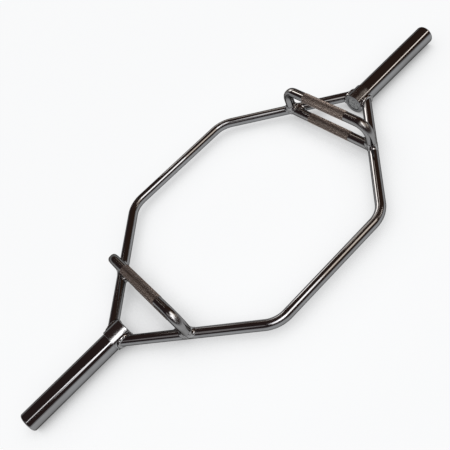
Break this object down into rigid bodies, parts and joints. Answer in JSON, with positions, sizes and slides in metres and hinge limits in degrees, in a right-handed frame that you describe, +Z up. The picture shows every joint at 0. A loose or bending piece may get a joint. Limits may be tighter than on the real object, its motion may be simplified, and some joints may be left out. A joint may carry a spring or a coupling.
{
  "type": "hex trap bar",
  "caption": "Welded chrome hexagonal trap bar: round-bar frame with collared plate sleeves at its ends, knurled grips in its plane and raised knurled grips above them.",
  "frame": {"origin": "on the floor under the middle of the hexagon, with the bar level on its two collars", "axes": "+X along the sleeves towards the right end, +Y across the frame towards the rear side bar, +Z up"},
  "size_m": [1.419, 0.5994, 0.1142],
  "materials": {
    "polished_chrome": "bright chrome plate over polished steel",
    "turned_chrome": "satin chrome plate over turned steel",
    "knurled_chrome": "chrome plate over a diamond knurl with smooth ends",
    "weld_chrome": "chrome plate over rippled weld bead"
  },
  "bodies": {
    "root": {"front_side_bar": "polished_chrome", "rear_side_bar": "polished_chrome", "left_sleeve": "polished_chrome", "right_sleeve": "polished_chrome", "left_collar": "turned_chrome", "right_collar": "turned_chrome", "left_inner_plug": "turned_chrome", "right_inner_plug": "turned_chrome", "left_outer_plug": "turned_chrome", "right_outer_plug": "turned_chrome", "left_low_handle": "knurled_chrome", "right_low_handle": "knurled_chrome", "left_raised_handle": "knurled_chrome", "right_raised_handle": "knurled_chrome", "left_front_collar_weld": "weld_chrome", "left_rear_collar_weld": "weld_chrome", "right_front_collar_weld": "weld_chrome", "right_rear_collar_weld": "weld_chrome", "left_front_handle_weld": "weld_chrome", "left_rear_handle_weld": "weld_chrome", "right_front_handle_weld": "weld_chrome", "right_rear_handle_weld": "weld_chrome"}
  },
  "joints": []
}
